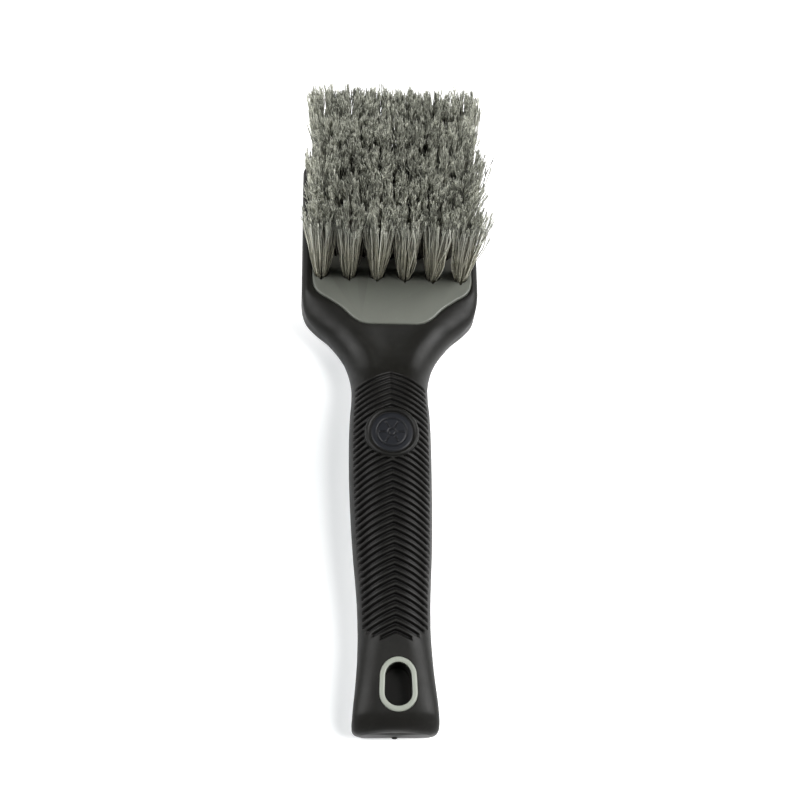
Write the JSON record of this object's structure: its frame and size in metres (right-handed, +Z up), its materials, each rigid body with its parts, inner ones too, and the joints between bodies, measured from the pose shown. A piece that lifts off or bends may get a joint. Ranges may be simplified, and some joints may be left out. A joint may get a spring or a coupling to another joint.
{
  "type": "wheel brush",
  "caption": "Short-handled wheel brush: rectangular head of staggered bristle tufts on a rigid plate, soft moulded body with chevron-ribbed grip and a ringed pocket near the butt.",
  "frame": {"origin": "centre of the outline, in the plane the brush lies on with its bristles up", "axes": "+Y along the handle from its butt towards the head, +Z up along the bristles, +X to the right"},
  "size_m": [0.066, 0.2218, 0.0605],
  "materials": {
    "core_plastic": "satin moulded",
    "soft_rubber": "matt soft-touch",
    "bristle": "flagged filament",
    "anchor_wire": "drawn flat wire"
  },
  "bodies": {
    "root": {"core": "core_plastic", "overmould": "soft_rubber", "tuft_r1_1": "bristle", "tuft_r1_2": "bristle", "tuft_r1_3": "bristle", "tuft_r1_4": "bristle", "tuft_r1_5": "bristle", "tuft_r1_6": "bristle", "tuft_r2_1": "bristle", "tuft_r2_2": "bristle", "tuft_r2_3": "bristle", "tuft_r2_4": "bristle", "tuft_r2_5": "bristle", "tuft_r3_1": "bristle", "tuft_r3_2": "bristle", "tuft_r3_3": "bristle", "tuft_r3_4": "bristle", "tuft_r3_5": "bristle", "tuft_r3_6": "bristle", "tuft_r4_1": "bristle", "tuft_r4_2": "bristle", "tuft_r4_3": "bristle", "tuft_r4_4": "bristle", "tuft_r4_5": "bristle", "tuft_r5_1": "bristle", "tuft_r5_2": "bristle", "tuft_r5_3": "bristle", "tuft_r5_4": "bristle", "tuft_r5_5": "bristle", "tuft_r5_6": "bristle", "anchor_r1_1": "anchor_wire", "anchor_r1_2": "anchor_wire", "anchor_r1_3": "anchor_wire", "anchor_r1_4": "anchor_wire", "anchor_r1_5": "anchor_wire", "anchor_r1_6": "anchor_wire", "anchor_r2_1": "anchor_wire", "anchor_r2_2": "anchor_wire", "anchor_r2_3": "anchor_wire", "anchor_r2_4": "anchor_wire", "anchor_r2_5": "anchor_wire", "anchor_r3_1": "anchor_wire", "anchor_r3_2": "anchor_wire", "anchor_r3_3": "anchor_wire", "anchor_r3_4": "anchor_wire", "anchor_r3_5": "anchor_wire", "anchor_r3_6": "anchor_wire", "anchor_r4_1": "anchor_wire", "anchor_r4_2": "anchor_wire", "anchor_r4_3": "anchor_wire", "anchor_r4_4": "anchor_wire", "anchor_r4_5": "anchor_wire", "anchor_r5_1": "anchor_wire", "anchor_r5_2": "anchor_wire", "anchor_r5_3": "anchor_wire", "anchor_r5_4": "anchor_wire", "anchor_r5_5": "anchor_wire", "anchor_r5_6": "anchor_wire"}
  },
  "joints": []
}
